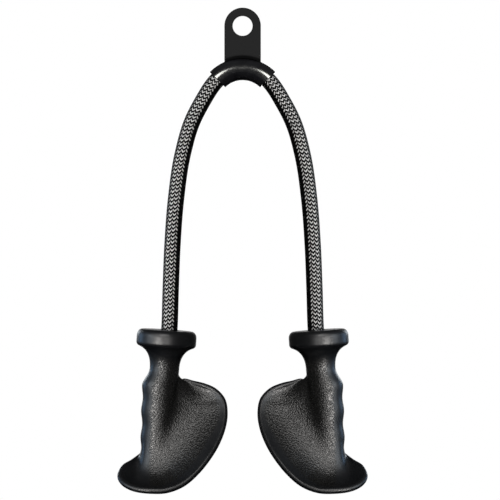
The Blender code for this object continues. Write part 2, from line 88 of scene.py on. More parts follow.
# Rope, as in the part: its size, the bend in the tube and the left arm's route to the handle
ROPE_DIAMETER = 16.2 * MM
TUBE_BEND_RADIUS = 35.4 * MM
TUBE_HALF_ANGLE = math.radians(45.8)
EYE_TO_TUBE = 43.2 * MM
HANDLE_TILT = math.radians(3.9)
ROPE_ROUTE = [
    (-41.1 * MM, -77.2 * MM),
    (-50.3 * MM, -95.4 * MM),
    (-59.6 * MM, -126.9 * MM),
    (-66.7 * MM, -174.0 * MM),
    (-70.1 * MM, -218.6 * MM),
    (-71.9 * MM, -263.3 * MM),
    (-73.3 * MM, -304.2 * MM),
]
UPPER_STRETCH = 48.0 * MM
SWAY_STRETCH = 48.0 * MM
LOWER_STRETCH = 48.0 * MM
SPAN_STEPS = 60

# Braid: columns of floats round the rope, two to a V, and the floats' pitch along it. A float climbs
# BRAID_CLIMB pitches over its column's width, and each V lies BRAID_SHIFT of a pitch beyond the last
BRAID_COLUMNS = 24
BRAID_START = 1
BRAID_CLIMB = 1.2
BRAID_SHIFT = 2 / 3
FLOAT_PITCH = 1.985 * MM
FLOAT_END_POWER = 0.3
BRAID_RELIEF = 0.28 * MM
BRAID_CROWN = 0.15 * MM
SIDES_PER_COLUMN = 6
RINGS_PER_FLOAT = 5
# White yarn shows where the place in a V, 0 at its ends and 1 at its point, is above WHITE_LEAST and the
# float's height above WHITE_CREST. Round the arm, 1 is the outer side and -1 the inner one: as painted
# shade, the white fades out beyond INNER_PAINTED_SHADE_FROM towards the inner side and dims beyond
# OUTER_PAINTED_SHADE_FROM at the outer edge
WHITE_LEAST = 0.12
WHITE_CREST = 0.62
WHITE_SOFTNESS = 0.2
INNER_PAINTED_SHADE_FROM = 0.25
INNER_PAINTED_SHADE_FADE = 0.34
OUTER_PAINTED_SHADE_FROM = 0.7
OUTER_PAINTED_SHADE = 0.88
OUTER_PAINTED_SHADE_FADE = 0.12
# Unevenness of the yarn: its size, and two waves in radians per strand and per column
YARN_UNEVEN = 0.12
UNEVEN_WAVES = [(7.3, 2.1), (0.9, -1.7)]

# Guide tube and hanger plate
ROPE_PLAY = 0.3 * MM
SEAT_GAP = 0.3 * MM
TUBE_WALL = 2.7 * MM
TUBE_EDGE = 0.6 * MM
EYE_DIAMETER = 19.9 * MM
PLATE_WIDTH = 36.4 * MM
PLATE_THICKNESS = 5.0 * MM
PLATE_EDGE = 0.8 * MM
WELD_LEG = 3.0 * MM
WELD_HOLLOW_SHARE = 0.45
WELD_RIPPLE = 0.22 * MM
WELD_RIPPLE_PITCH = 1.7 * MM
# Where rows of points lie on the plate's face, in the weld's seat and on the plate's side
FACE_SHARES = (0.3, 0.6, 0.85)
WELD_SEAT_SHARES = (0.75, 0.5, 0.25)
SIDE_SHARES = (0.8, 0.6, 0.45, 0.3, 0.15)

# Handle: flange, neck and grip
FLANGE_RADIUS = 29.9 * MM
FLANGE_HEIGHT = 17.2 * MM
FLANGE_TOP_EDGE = 5.4 * MM
FLANGE_TOP_DROP = 6.4 * MM
FLANGE_LOWER_EDGE = 4.2 * MM
FLANGE_LOWER_TURN = math.radians(75)
BORE_OFFSET = 2.2 * MM
NECK_RADIUS = 14.75 * MM
NECK_DEPTH = 38.5 * MM
GRIP_OUTER = 23.5 * MM
GRIP_OUTER_TAPER = 2.2 * MM
GRIP_INNER = 12.2 * MM
GRIP_HALF_DEPTH = 16.4 * MM
GRIP_SWELL_DEPTH = 56.0 * MM
GROOVE_PITCH = 26.0 * MM
GROOVE_DEPTH = 1.4 * MM
HANDLE_LENGTH = 143.0 * MM

# Handle: palm wing
WING_REACH = 64.0 * MM
WING_FORWARD = 52.0 * MM
WING_BACK = 6.0 * MM
WING_DROP = 159.0 * MM
WING_DISH = 11.0 * MM
LIP_THICKNESS = 6.4 * MM

# How the handle's surfaces run between those sizes
FLANGE_FACE_SHARE = 0.62
COVE_REACH_SHARE = 0.55
COVE_DROP_SHARE = 0.15
COVE_RISE_SHARE = 0.5
FINGER_POWER = 0.7
WING_DIP_SHARE = 0.42
LEANING_DIP_SHARE = 0.3
WING_CURL_SHARE = 0.33
UNDERSIDE_SHARE = 0.35
UNDERSIDE_DISH_SHARE = 0.5
ROOT_SHARE = 0.16
ROOT_RISE_SHARE = 0.05
BACK_LEAVE_SHARE = 0.03

# Inside the handle
CORE_WALL = 1.3 * MM
ENTRY_LIP = 3.0 * MM
ENTRY_EDGE = 1.2 * MM
WASHER_RADIUS = 11.8 * MM
WASHER_THICKNESS = 2.0 * MM
FERRULE_LENGTH = 14.0 * MM
FERRULE_FLOOR = 2.5 * MM
PLUG_THICKNESS = 4.0 * MM
END_CLEARANCE = 1.4 * MM
BASE_RIM = 1.4 * MM

# Where the leather grain lies: round the grip in degrees, and how far it stays from the wing's lip, which
# is less at the wing's top than along its lower side
GRAIN_FROM = -40
GRAIN_TO = 118
GRAIN_FADE = 9
GRAIN_MARGIN = 8 * MM
GRAIN_MARGIN_TOP = 1.5 * MM
GRAIN_MARGIN_FROM = 14
GRAIN_MARGIN_TURN = 24
GRAIN_MARGIN_FADE = 4 * MM

# How finely the surfaces are cut, and the angle above which an edge stays sharp
SHARP_DEGREES = 40
BRAID_SHARP_DEGREES = 75
TUBE_SIDES = 72
TUBE_STEPS = 72
TUBE_EDGE_STEPS = 4
PLATE_COLUMNS_BELOW = 150
PLATE_COLUMNS_ABOVE = 210
PLATE_EDGE_STEPS = 3
WELD_ROWS = 8
ENTRY_STEPS = 3
HANDLE_COLUMNS = 184
HANDLE_ROWS = {"face": 5, "edge": 6, "side": 4, "cove": 10, "grip": 34, "wing": 38, "lip": 14, "under": 20}

# The wing's rim, as in the part: angle on the grip, share of WING_REACH inward, share of WING_FORWARD
# to the front (of WING_BACK where negative), share of WING_DROP down, share of WING_DROP at which the
# surface leaves the grip, and lean in degrees
RIM_SHARES = [
    (-6, 0.27, -0.91, 0.299, 0.272, 0),
    (3, 0.43, -1.00, 0.308, 0.280, 0),
    (8, 0.62, -0.91, 0.321, 0.290, 2),
    (12, 0.80, -0.45, 0.349, 0.304, 5),
    (16, 0.948, 0.04, 0.408, 0.328, 9),
    (20, 1.00, 0.16, 0.493, 0.360, 14),
    (26, 0.985, 0.31, 0.582, 0.398, 20),
    (35, 0.915, 0.48, 0.675, 0.445, 27),
    (46, 0.80, 0.64, 0.765, 0.495, 35),
    (60, 0.635, 0.78, 0.858, 0.548, 43),
    (77, 0.425, 0.90, 0.938, 0.600, 50),
    (94, 0.17, 0.98, 0.984, 0.635, 55),
    (110, -0.10, 0.99, 0.995, 0.655, 58),
    (127, -0.355, 0.91, 0.990, 0.680, 60),
    (143, -0.545, 0.75, 0.965, 0.705, 60),
    (157, -0.635, 0.54, 0.922, 0.728, 58),
    (168, -0.59, 0.29, 0.868, 0.742, 55),
    (178, -0.455, 0.07, 0.830, 0.745, 50),
    (188, -0.352, -0.60, 0.795, 0.740, 45),
]
RIM_END_SHARES = [(0, 0.3), (1, 0.8), (18, 0.3), (17, 0.8)]
BACK_SHARES = [(206, 0.765), (232, 0.70), (262, 0.61), (292, 0.50), (318, 0.40), (338, 0.335)]

# Stage: floor, backdrop and soft boxes. FLOOR_FADE is where the floor turns white, in shares of its
# radius. The backdrop grows from BACKDROP_EDGE to BACKDROP_FULL, measured as how far a ray of length 1
# goes to the back. A soft box is (name, what it lights, azimuth to the outer side, elevation, size,
# level, colour), and each stands once for the left half and mirrored for the right
FLOOR_DROP = 160 * MM
FLOOR_RADIUS = 1300 * MM
FLOOR_SIDES = 96
FLOOR_GLOW = 0.45
FLOOR_WHITE = 0.8
FLOOR_FADE = (0.35, 0.9)
BACKDROP_EDGE = 0.88
BACKDROP_FULL = 0.99
ROOM_LEVEL = 0.05
CARD_RADIUS = 1250 * MM
CARD_LIFT = 5 * MM
LIGHT_DISTANCE = 1600 * MM
LIGHT_TARGET = (75 * MM, -250 * MM)
OVERHEAD_TOWARDS = (0, 90)
OVERHEAD_SIZE = 700 * MM
OVERHEAD_LEVEL = 0.4
SOFT_BOXES = [
    ("high_key", "arm", 8, 28, 900 * MM, 0.24, (1.0, 0.98, 0.96)),
    ("front_key", "arm", -4, -8, 600 * MM, 0.1, (1.0, 0.98, 0.96)),
    ("low_key", "arm", 30, -15, 800 * MM, 0.72, (1.0, 0.97, 0.94)),
    ("mid_key", "arm", 40, 20, 900 * MM, 0.07, (1.0, 0.99, 0.96)),
    ("side", "arm", 62, 8, 800 * MM, 0.13, (0.85, 0.93, 1.0)),
    ("wall", "arm", 90, 0, 2400 * MM, 0.08, (0.55, 0.75, 1.0)),
    ("edge", "arm", 115, 5, 700 * MM, 0.06, (0.4, 0.65, 1.0)),
    ("back", "arm", 148, 10, 600 * MM, 0.12, (0.85, 0.93, 1.0)),
    ("back_tube", "tube", 172, 12, 800 * MM, 0.15, (1.0, 1.0, 1.0)),
    ("arch", "tube", 22, 19, 900 * MM, 1.35, (1.0, 1.0, 0.93)),
    ("tab", "plate", 20, 10, 2400 * MM, 0.06, (1.0, 1.0, 1.0)),
]

# Materials: noise has most of its values within NOISE_SPAN
NOISE_SPAN = (0.3, 0.7)
NOISE_DETAIL = 4.0
NOISE_ROUGHNESS = 0.55

# Worked out from the sizes above
ROPE_RADIUS = ROPE_DIAMETER / 2
TUBE_BORE = ROPE_RADIUS + ROPE_PLAY
TUBE_RADIUS = TUBE_BORE + TUBE_WALL
ARC_DROP = EYE_TO_TUBE + TUBE_BEND_RADIUS
SADDLE_RADIUS = TUBE_BEND_RADIUS + TUBE_RADIUS + SEAT_GAP
CORE_BORE = ROPE_RADIUS + ROPE_PLAY
HANDLE_BORE = CORE_BORE + CORE_WALL + SEAT_GAP
POCKET_RADIUS = WASHER_RADIUS + 2 * SEAT_GAP
FERRULE_TOP_DEPTH = HANDLE_LENGTH - PLUG_THICKNESS - END_CLEARANCE - FERRULE_LENGTH
SEAT_DEPTH = FERRULE_TOP_DEPTH - WASHER_THICKNESS - 2 * SEAT_GAP
HANDLE_TOP = Vector((ROPE_ROUTE[-1][0], 0, ROPE_ROUTE[-1][1]))
TAIL_LENGTH = SEAT_DEPTH + WASHER_THICKNESS + FERRULE_LENGTH - FERRULE_FLOOR + SEAT_GAP


# Camera


def make_camera():
    """A level camera whose frame is the photograph's: its middle pixel looks straight at the object."""
    width = FRAME_PIXELS * PIXEL
    data = bpy.data.cameras.new("camera")
    data.sensor_width = SENSOR
    data.lens = SENSOR * CAMERA_DISTANCE / width
    camera = bpy.data.objects.new("camera", data)
    middle = FRAME_PIXELS / 2
    camera.location = (
        (middle - EYE_PIXEL[0]) * PIXEL,
        -CAMERA_DISTANCE,
        (EYE_PIXEL[1] - middle) * PIXEL,
    )
    camera.rotation_euler = (math.pi / 2, 0, 0)
    bpy.context.scene.collection.objects.link(camera)
    bpy.context.scene.camera = camera


# Meshes


def make_mesh(name, vertices, faces, material, sharp_degrees=SHARP_DEGREES):
    mesh = bpy.data.meshes.new(name)
    mesh.from_pydata(np.asarray(vertices).reshape(-1, 3).tolist(), [], faces)
    mesh.update()
    mesh.shade_smooth()
    mesh.set_sharp_from_angle(angle=math.radians(sharp_degrees))
    mesh.materials.append(material)
    piece = bpy.data.objects.new(name, mesh)
    bpy.context.scene.collection.objects.link(piece)
    return piece


def loft(name, rings, material, close_rows=True, flip=False, sharp_degrees=SHARP_DEGREES):
    """A closed skin over rings of equal count. Without close_rows the two end rings are capped."""
    rings = np.asarray(rings)
    rows, columns = rings.shape[:2]
    faces = []
    for row in range(rows if close_rows else rows - 1):
        here, below = row * columns, (row + 1) % rows * columns
        for column in range(columns):
            beside = (column + 1) % columns
            faces.append((here + column, here + beside, below + beside, below + column))
    if not close_rows:
        faces.append(tuple(reversed(range(columns))))
        faces.append(tuple(range((rows - 1) * columns, rows * columns)))
    if flip:
        faces = [face[::-1] for face in faces]
    return make_mesh(name, rings, faces, material, sharp_degrees)


def add_attribute(piece, name, values):
    attribute = piece.data.attributes.new(name, "FLOAT", "POINT")
    attribute.data.foreach_set("value", np.asarray(values, dtype=np.float32).ravel())


def bezier(points, share):
    a, b, c, d = points
    rest = 1 - share
    return rest**3 * a + 3 * rest**2 * share * b + 3 * rest * share**2 * c + share**3 * d


def smooth(share):
    share = np.clip(share, 0, 1)
    return share * share * (3 - 2 * share)


def unit(vector):
    return vector / np.linalg.norm(vector)


# Rope route


def tangents(points, first, last):
    """Tangents of a smooth curve through the points, with given ones at its two ends."""
    found = [first]
    for before, here, after in zip(points, points[1:], points[2:]):
        came, goes = here - before, after - here
        share = came.length / (came.length + goes.length)
        found.append(came / came.length * (1 - share) + goes / goes.length * share)
    return [*found, last]


def tube_arc():
    """The rope's line in the tube, from the crown to the left mouth."""
    points = []
    for step in range(SPAN_STEPS + 1):
        angle = TUBE_HALF_ANGLE * step / SPAN_STEPS
        x, z = -TUBE_BEND_RADIUS * math.sin(angle), TUBE_BEND_RADIUS * math.cos(angle) - ARC_DROP
        points.append(Vector((x, 0, z)))
    return points


def arm_route(mouth):
    """The left arm's free rope, from the tube's mouth to the handle's top."""
    out = Vector((-math.cos(TUBE_HALF_ANGLE), 0, -math.sin(TUBE_HALF_ANGLE)))
    into = Vector((-math.sin(HANDLE_TILT), 0, -math.cos(HANDLE_TILT)))
    knots = [mouth] + [Vector((x, 0, z)) for x, z in ROPE_ROUTE]
    headings = tangents(knots, out, into)
    points = []
    for start, end, leaves, arrives in zip(knots, knots[1:], headings, headings[1:]):
        chord = (end - start).length
        for step in range(1, SPAN_STEPS + 1):
            t = step / SPAN_STEPS
            points.append(
                start * (2 * t**3 - 3 * t**2 + 1)
                + end * (3 * t**2 - 2 * t**3)
                + leaves * chord * (t**3 - 2 * t**2 + t)
                + arrives * chord * (t**3 - t**2)
            )
    return points, into


RopeLine = namedtuple("RopeLine", "points along mouth top")


def rope_line():
    """The left half of the rope: its points, the length along it to each, and the arm's two ends."""
    arc = tube_arc()
    arm, into = arm_route(arc[-1])
    points = np.array([*arc, *arm, arm[-1] + into * TAIL_LENGTH])
    along = np.concatenate([[0], np.cumsum(np.linalg.norm(np.diff(points, axis=0), axis=1))])
    return RopeLine(points, along, along[len(arc) - 1], along[-2])


def rope_place(line, where):
    return np.stack([np.interp(where, line.along, line.points[:, axis]) for axis in range(3)], axis=-1)


# Braid


def braid(along, turn):
    """Relief and whiteness of the braid at lengths along the rope and turns round it, both as arrays.

    Floats climb one way in every other column and the other way in the rest, so that they meet in V's.
    Every second strand is white, and painted shade fades it out towards the arm's inner side and dims it at
    the outer edge. Turn 0 is the arm's outer side. Both results run from 0 to 1.
    """
    column = turn * BRAID_COLUMNS + BRAID_START
    index = np.floor(column)
    across = column - index
    lean = np.where(index % 2 < 1, 1.0, -1.0)
    strand = along / FLOAT_PITCH - lean * BRAID_CLIMB * (across - 0.5) - index // 2 * BRAID_SHIFT
    number = np.floor(strand)
    within = strand - number
    crown = np.sqrt(np.clip(1 - (2 * within - 1) ** 2, 0, 1))
    height = crown * np.sin(math.pi * across) ** FLOAT_END_POWER

    uneven = YARN_UNEVEN
    for per_strand, per_column in UNEVEN_WAVES:
        uneven = uneven * np.sin(per_strand * number + per_column * index)
    outward = np.cos(2 * math.pi * turn)
    # Painted shade: towards the arm's inner side, less and less of each V shows white.
    least_with_painted_inner_shade = WHITE_LEAST + (1 - WHITE_LEAST) * smooth((-outward - INNER_PAINTED_SHADE_FROM) / INNER_PAINTED_SHADE_FADE)
    bend = np.sin(math.pi / 2 * (column % 2))
    in_bend = smooth((bend - least_with_painted_inner_shade - uneven) / WHITE_SOFTNESS)
    on_crest = smooth((crown - WHITE_CREST - uneven) / WHITE_SOFTNESS)
    # Painted shade: the white dims at the arm's outer edge.
    bright = 1 - OUTER_PAINTED_SHADE * smooth((outward - OUTER_PAINTED_SHADE_FROM) / OUTER_PAINTED_SHADE_FADE)
    return height, (number % 2 < 1) * in_bend * on_crest * bright


def braided_rope(name, line, start, end, side, material):
    """A length of the braided rope as one closed skin, with its braid's relief."""
    step = FLOAT_PITCH / RINGS_PER_FLOAT
    count = max(2, round((end - start) / step)) + 1
    where = np.linspace(start, end, count)
    centres = rope_place(line, where)
    ahead = rope_place(line, np.minimum(where + step, line.along[-1]))
    behind = rope_place(line, np.maximum(where - step, 0))
    heading = (ahead - behind) / np.linalg.norm(ahead - behind, axis=1)[:, None]
    outward = np.stack([heading[:, 2], np.zeros(count), -heading[:, 0]], axis=1)
    columns = BRAID_COLUMNS * SIDES_PER_COLUMN
    turn = (np.arange(columns) + 0.5) / columns
    angle = 2 * math.pi * turn
    height, white = braid(where[:, None], turn[None, :])
    radius = ROPE_RADIUS + BRAID_CROWN - BRAID_RELIEF * (1 - height)
    rings = (
        centres[:, None, :]
        + (radius * np.cos(angle))[:, :, None] * outward[:, None, :]
        + (radius * np.sin(angle))[:, :, None] * np.array((0, 1, 0))
    )
    rings[:, :, 0] *= side
    rope = loft(name, rings, material, close_rows=False, flip=side < 0, sharp_degrees=BRAID_SHARP_DEGREES)
    # The white yarn's share, with its painted shade at the rope's inner side and outer edge.
    add_attribute(rope, "white_yarn_with_painted_shade", white)
    add_attribute(rope, "crown", height)
    centres[:, 0] *= side
    return rope, centres


# Bracket


def build_guide_tube(material):
    """The bent steel tube, with its two mouths rounded."""
    end = TUBE_BEND_RADIUS * TUBE_HALF_ANGLE
    profile = []
    for step in range(TUBE_EDGE_STEPS + 1):
        turn = math.pi / 2 * step / TUBE_EDGE_STEPS
        along = TUBE_EDGE * (1 - math.sin(turn))
        profile.append((along, TUBE_EDGE * (1 - math.cos(turn))))
    mouth = [(-end + back, TUBE_RADIUS - drop) for back, drop in profile[::-1]]
    run = [(share * (end - TUBE_EDGE), TUBE_RADIUS) for share in np.linspace(-1, 1, TUBE_STEPS + 1)]
    outside = mouth + run[1:-1] + [(-along, radius) for along, radius in reversed(mouth)]
    inside = [(along, TUBE_BORE + (TUBE_RADIUS - radius)) for along, radius in reversed(outside)]
    rings = []
    for along, radius in outside + inside:
        angle = along / TUBE_BEND_RADIUS
        ring = []
        for side in range(TUBE_SIDES):
            turn = 2 * math.pi * side / TUBE_SIDES
            reach = TUBE_BEND_RADIUS + radius * math.cos(turn)
            height = reach * math.cos(angle) - ARC_DROP
            ring.append((reach * math.sin(angle), radius * math.sin(turn), height))
        rings.append(ring)
    return loft("guide_tube_painted", rings, material, flip=True)


def to_arc(angle, radius):
    """How far from the eye, at an angle from straight down, a circle round the arc's centre lies."""
    return ARC_DROP * math.cos(angle) - math.sqrt(radius**2 - (ARC_DROP * math.sin(angle)) ** 2)


def corner_angle():
    half = PLATE_WIDTH / 2
    return math.atan2(half, ARC_DROP - math.sqrt(SADDLE_RADIUS**2 - half**2))


def plate_reach(angle, corner):
    """Distance from the eye's centre to the plate's edge."""
    half = PLATE_WIDTH / 2
    if abs(angle) < corner:
        return to_arc(angle, SADDLE_RADIUS)
    if abs(angle) < math.pi / 2:
        return half / math.sin(abs(angle))
    return half


def weld_rows(ripple):
    """The weld's front half as (radius from the arc's centre, depth): hollow face, toe and seat."""
    face = PLATE_THICKNESS / 2
    seat = TUBE_RADIUS + SEAT_GAP
    leg = WELD_LEG + ripple
    toe_turn = math.asin((face + leg) / seat)
    toe = np.array((TUBE_BEND_RADIUS + seat * math.cos(toe_turn), seat * math.sin(toe_turn)))
    head = np.array((TUBE_BEND_RADIUS + TUBE_RADIUS + leg, face))
    root = np.array((toe[0], face))
    bend = root + (head + toe - 2 * root) * (0.5 - WELD_HOLLOW_SHARE / 2)
    points = []
    for share in np.linspace(0, 1, WELD_ROWS):
        rest = 1 - share
        points.append(tuple(rest**2 * head + 2 * rest * share * bend + share**2 * toe))
    for share in WELD_SEAT_SHARES:
        turn = toe_turn * share
        points.append((TUBE_BEND_RADIUS + seat * math.cos(turn), seat * math.sin(turn)))
    return points


def plate_column(angle, corner):
    """One radial section of the plate, from the eye's front edge round the outer edge to the back."""
    direction = np.array((math.sin(angle), 0, -math.cos(angle)))
    face, eye, edge = PLATE_THICKNESS / 2, EYE_DIAMETER / 2, PLATE_EDGE
    reach = plate_reach(angle, corner)
    half = []
    for step in range(PLATE_EDGE_STEPS, -1, -1):
        turn = math.pi / 2 * step / PLATE_EDGE_STEPS
        half.append((eye + edge * (1 - math.sin(turn)), face - edge * (1 - math.cos(turn))))
    if abs(angle) < corner:
        place = ARC_DROP * angle
        ripple = WELD_RIPPLE * math.cos(2 * math.pi * place / WELD_RIPPLE_PITCH)
        weld = weld_rows(ripple)
        head = to_arc(angle, weld[0][0])
        half += [(eye + edge + (head - eye - edge) * share, face) for share in FACE_SHARES]
        half += [(to_arc(angle, radius), depth) for radius, depth in weld]
    else:
        half += [(eye + edge + (reach - eye - 2 * edge) * share, face) for share in FACE_SHARES]
        # As many points as where the weld is
        steps = WELD_ROWS + len(WELD_SEAT_SHARES) - len(SIDE_SHARES)
        for step in range(steps):
            turn = math.pi / 2 * step / (steps - 1)
            half.append((reach - edge * (1 - math.sin(turn)), face - edge * (1 - math.cos(turn))))
        half += [(reach, (face - edge) * share) for share in SIDE_SHARES]
    section = [(r, -d) for r, d in half] + [(reach, 0)] + [(r, d) for r, d in reversed(half)]
    return [direction * r + np.array((0, d, 0)) for r, d in section]


def build_hanger_plate(material):
    corner = corner_angle()
    below, above = PLATE_COLUMNS_BELOW, PLATE_COLUMNS_ABOVE
    lower = [corner * (2 * step / below - 1) for step in range(below)]
    right = [corner + (math.pi - corner) * 2 * step / above for step in range(above // 2)]
    left = [2 * (math.pi - corner) * step / above - math.pi for step in range(above // 2)]
    columns = [plate_column(angle, corner) for angle in lower + right + left]
    rings = np.array(columns).transpose(1, 0, 2)
    return loft("hanger_plate_painted", rings, material, flip=True)


# Handle surface, in the handle's own frame: X inward, Y back, Z up the bore's axis, top of flange at 0


def grip_point(angle, depth):
    """A point on the neck or grip. angle is 0 inward and 90 degrees to the front, depth is downwards."""
    swell = smooth((depth - NECK_DEPTH) / (GRIP_SWELL_DEPTH - NECK_DEPTH))
    neck_inner = NECK_RADIUS - BORE_OFFSET
    neck_outer = NECK_RADIUS + BORE_OFFSET
    inner = neck_inner + (GRIP_INNER - neck_inner) * swell
    outer = neck_outer + (GRIP_OUTER - neck_outer) * swell
    half_depth = NECK_RADIUS + (GRIP_HALF_DEPTH - NECK_RADIUS) * swell
    waves = (1 - math.cos(2 * math.pi * (depth - GRIP_SWELL_DEPTH) / GROOVE_PITCH)) / 2
    fingers = max(0.0, -math.cos(angle)) ** FINGER_POWER
    outer -= GROOVE_DEPTH * waves * swell * fingers
    outer -= GRIP_OUTER_TAPER * smooth((depth - GRIP_SWELL_DEPTH) / (SEAT_DEPTH - GRIP_SWELL_DEPTH))
    middle, half_width = (inner - outer) / 2, (inner + outer) / 2
    return np.array((middle + half_width * math.cos(angle), -half_depth * math.sin(angle), -depth))


def rim_stations():
    """Angle, rim point, leaving depth, lean, and how far the wing stands out, for each station."""
    ends = dict(RIM_END_SHARES)
    rows = []
    for index, (angle, inward, forward, down, leave, lean) in enumerate(RIM_SHARES):
        ahead = forward * (WING_FORWARD if forward > 0 else WING_BACK)
        point = (inward * WING_REACH, -ahead, -down * WING_DROP)
        stand = ends.get(index, 1)
        rows.append((math.radians(angle), *point, leave * WING_DROP, math.radians(lean), stand))
    for angle, down in BACK_SHARES:
        point = grip_point(math.radians(angle), down * WING_DROP)
        rows.append((math.radians(angle), *point, (down - BACK_LEAVE_SHARE) * WING_DROP, 0, 0))
    return np.array(rows)


def closed_spline(values, position):
    """Catmull-Rom through the rows of values, closed, with the angle in column 0 going once round."""
    count = len(values)
    base = int(math.floor(position))
    share = position - base
    rows = []
    for step in (-1, 0, 1, 2):
        row = values[(base + step) % count].copy()
        row[0] += 2 * math.pi * ((base + step) // count)
        rows.append(row)
    a, b, c, d = rows
    first, second, third = (c - a) / 2, (2 * a - 5 * b + 4 * c - d) / 2, (3 * (b - c) + d - a) / 2
    value = b + share * (first + share * (second + share * third))
    slope = first + share * (2 * second + share * 3 * third)
    return value, slope


def flange_profile(rows):
    """The flange from its top face to the start of the cove, as (radius, depth) round its own centre."""
    flat = FLANGE_RADIUS - FLANGE_TOP_EDGE
    inner = FLANGE_RADIUS * FLANGE_FACE_SHARE
    points = [(inner + (flat - inner) * step / rows["face"], 0) for step in range(rows["face"])]
    for step in range(rows["edge"] + 1):
        turn = math.pi / 2 * step / rows["edge"]
        points.append((flat + FLANGE_TOP_EDGE * math.sin(turn), FLANGE_TOP_DROP * (1 - math.cos(turn))))
    low = FLANGE_HEIGHT - FLANGE_LOWER_EDGE
    for step in range(1, rows["side"]):
        points.append((FLANGE_RADIUS, FLANGE_TOP_DROP + (low - FLANGE_TOP_DROP) * step / rows["side"]))
    for step in range(rows["edge"] + 1):
        turn = FLANGE_LOWER_TURN * step / rows["edge"]
        points.append(
            (
                FLANGE_RADIUS - FLANGE_LOWER_EDGE * (1 - math.cos(turn)),
                FLANGE_HEIGHT - FLANGE_LOWER_EDGE * (1 - math.sin(turn)),
            )
        )
    return points


def cove_points(start, count):
    """The cove from the flange's lower edge to the neck, as (radius, depth)."""
    start = np.array(start)
    end = np.array((NECK_RADIUS, NECK_DEPTH))
    drop = NECK_DEPTH - FLANGE_HEIGHT
    reach = FLANGE_RADIUS - NECK_RADIUS
    inward = np.array((-reach * COVE_REACH_SHARE, drop * COVE_DROP_SHARE))
    control = (start, start + inward, end - np.array((0, drop * COVE_RISE_SHARE)), end)
    return [tuple(bezier(control, (step + 1) / (count + 1))) for step in range(count)]


def handle_column(row, slope, rows):
    """One column of the handle's skin, from the flange's top to the plug's seat."""
    angle, rim, leave, lean, stand = row[0], row[1:4], row[4], row[5], min(max(row[6], 0), 1)
    points = []
    flange = flange_profile(rows)
    for radius, depth in flange + cove_points(flange[-1], rows["cove"]):
        points.append(np.array((radius * math.cos(angle) - BORE_OFFSET, -radius * math.sin(angle), -depth)))
    for step in range(rows["grip"]):
        points.append(grip_point(angle, NECK_DEPTH + (leave - NECK_DEPTH) * step / rows["grip"]))

    behind = np.array((0, math.cos(lean), -math.sin(lean)))
    along = unit(slope[1:4])
    outward = unit(np.cross(along, behind))
    behind = unit(np.cross(outward, along))
    lip = LIP_THICKNESS / 2 * stand
    centre = rim - outward * lip
    start = grip_point(angle, leave)
    top = centre - behind * lip
    chord = np.linalg.norm(top - start)
    dip = chord * (WING_DIP_SHARE + LEANING_DIP_SHARE * math.sin(lean))
    dish = WING_DISH * chord / WING_REACH
    surface = (
        start,
        start + np.array((0, 0, -dip)),
        top - stand * (outward * chord * WING_CURL_SHARE - behind * dish),
        top,
    )
    for step in range(rows["wing"]):
        points.append(bezier(surface, step / rows["wing"]))
    for step in range(rows["lip"] + 1):
        turn = math.pi * step / rows["lip"]
        points.append(centre + lip * (math.sin(turn) * outward - math.cos(turn) * behind))

    under = centre + behind * lip
    foot_radius = POCKET_RADIUS + BASE_RIM
    radial = np.array((math.cos(angle), -math.sin(angle), 0))
    foot = radial * foot_radius + np.array((0, 0, -HANDLE_LENGTH))
    gap = np.linalg.norm(under - foot)
    hollow = WING_DISH * UNDERSIDE_DISH_SHARE
    below = under + stand * (behind * hollow - outward * gap * UNDERSIDE_SHARE)
    below[2] -= gap * UNDERSIDE_SHARE * (1 - stand)
    corner = foot + radial * (BASE_RIM + gap * ROOT_SHARE * stand)
    corner[2] += gap * ROOT_RISE_SHARE * stand
    underside = (under, below, corner, foot)
    for step in range(rows["under"]):
        points.append(bezier(underside, (step + 1) / rows["under"]))
    return points


def handle_bore(angle):
    """One column of the handle's inner wall, from the plug's seat up to the rope's entry."""
    entry = CORE_BORE + SEAT_GAP
    profile = [
        (POCKET_RADIUS, HANDLE_LENGTH),
        (POCKET_RADIUS, SEAT_DEPTH),
        (HANDLE_BORE, SEAT_DEPTH),
        (HANDLE_BORE, ENTRY_LIP),
        (entry, ENTRY_LIP),
        (entry, ENTRY_EDGE),
    ]
    for step in range(1, ENTRY_STEPS + 1):
        turn = math.pi / 2 * step / ENTRY_STEPS
        profile.append((entry + ENTRY_EDGE * (1 - math.cos(turn)), ENTRY_EDGE * (1 - math.sin(turn))))
    return [np.array((r * math.cos(angle), -r * math.sin(angle), -z)) for r, z in profile]


def grain_of(row, rows):
    """How grained each point of a handle column is: 1 on neck, grip and palm, 0 on the smooth parts."""
    angle = row[0]
    degrees = math.degrees(angle)
    front = smooth((degrees - GRAIN_FROM) / GRAIN_FADE) * smooth((GRAIN_TO - degrees) / GRAIN_FADE)
    flange = rows["face"] + 2 * (rows["edge"] + 1) + rows["side"] - 1
    chord = np.linalg.norm(row[1:4] - grip_point(angle, row[4]))
    lower = smooth((degrees - GRAIN_MARGIN_FROM) / GRAIN_MARGIN_TURN)
    margin = GRAIN_MARGIN_TOP + (GRAIN_MARGIN - GRAIN_MARGIN_TOP) * lower
    grain = [0] * flange
    grain += [front * smooth(2 * (step + 1) / rows["cove"] - 1) for step in range(rows["cove"])]
    grain += [front] * rows["grip"]
    for step in range(rows["wing"]):
        to_lip = chord * (1 - step / rows["wing"])
        grain.append(front * smooth((to_lip - margin) / GRAIN_MARGIN_FADE))
    return grain


